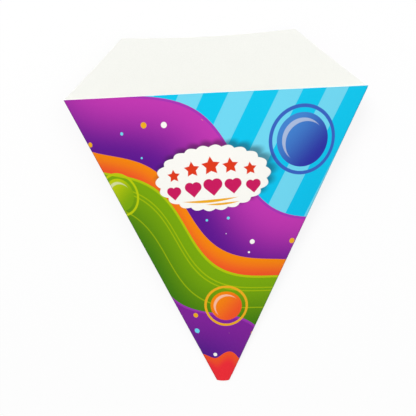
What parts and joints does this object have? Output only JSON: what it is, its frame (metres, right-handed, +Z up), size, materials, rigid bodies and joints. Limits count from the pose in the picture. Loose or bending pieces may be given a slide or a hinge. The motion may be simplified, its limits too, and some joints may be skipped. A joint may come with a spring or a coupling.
{
  "type": "paper cone bag",
  "caption": "Flat pocket cone of folded and glued card, printed outside and white inside, with a taller back panel standing above the open mouth.",
  "frame": {"origin": "centre of the bounding box at the surface that the back panel rests on", "axes": "+Y from the tip to the mouth, +X across the mouth towards the glued seam, +Z up from the back panel to the front panel"},
  "size_m": [0.1392, 0.17, 0.0272],
  "materials": {
    "card": "white coated card, printed in colour on the outside, uncoated white inside"
  },
  "bodies": {
    "root": {"paper_cone": "card"}
  },
  "joints": []
}
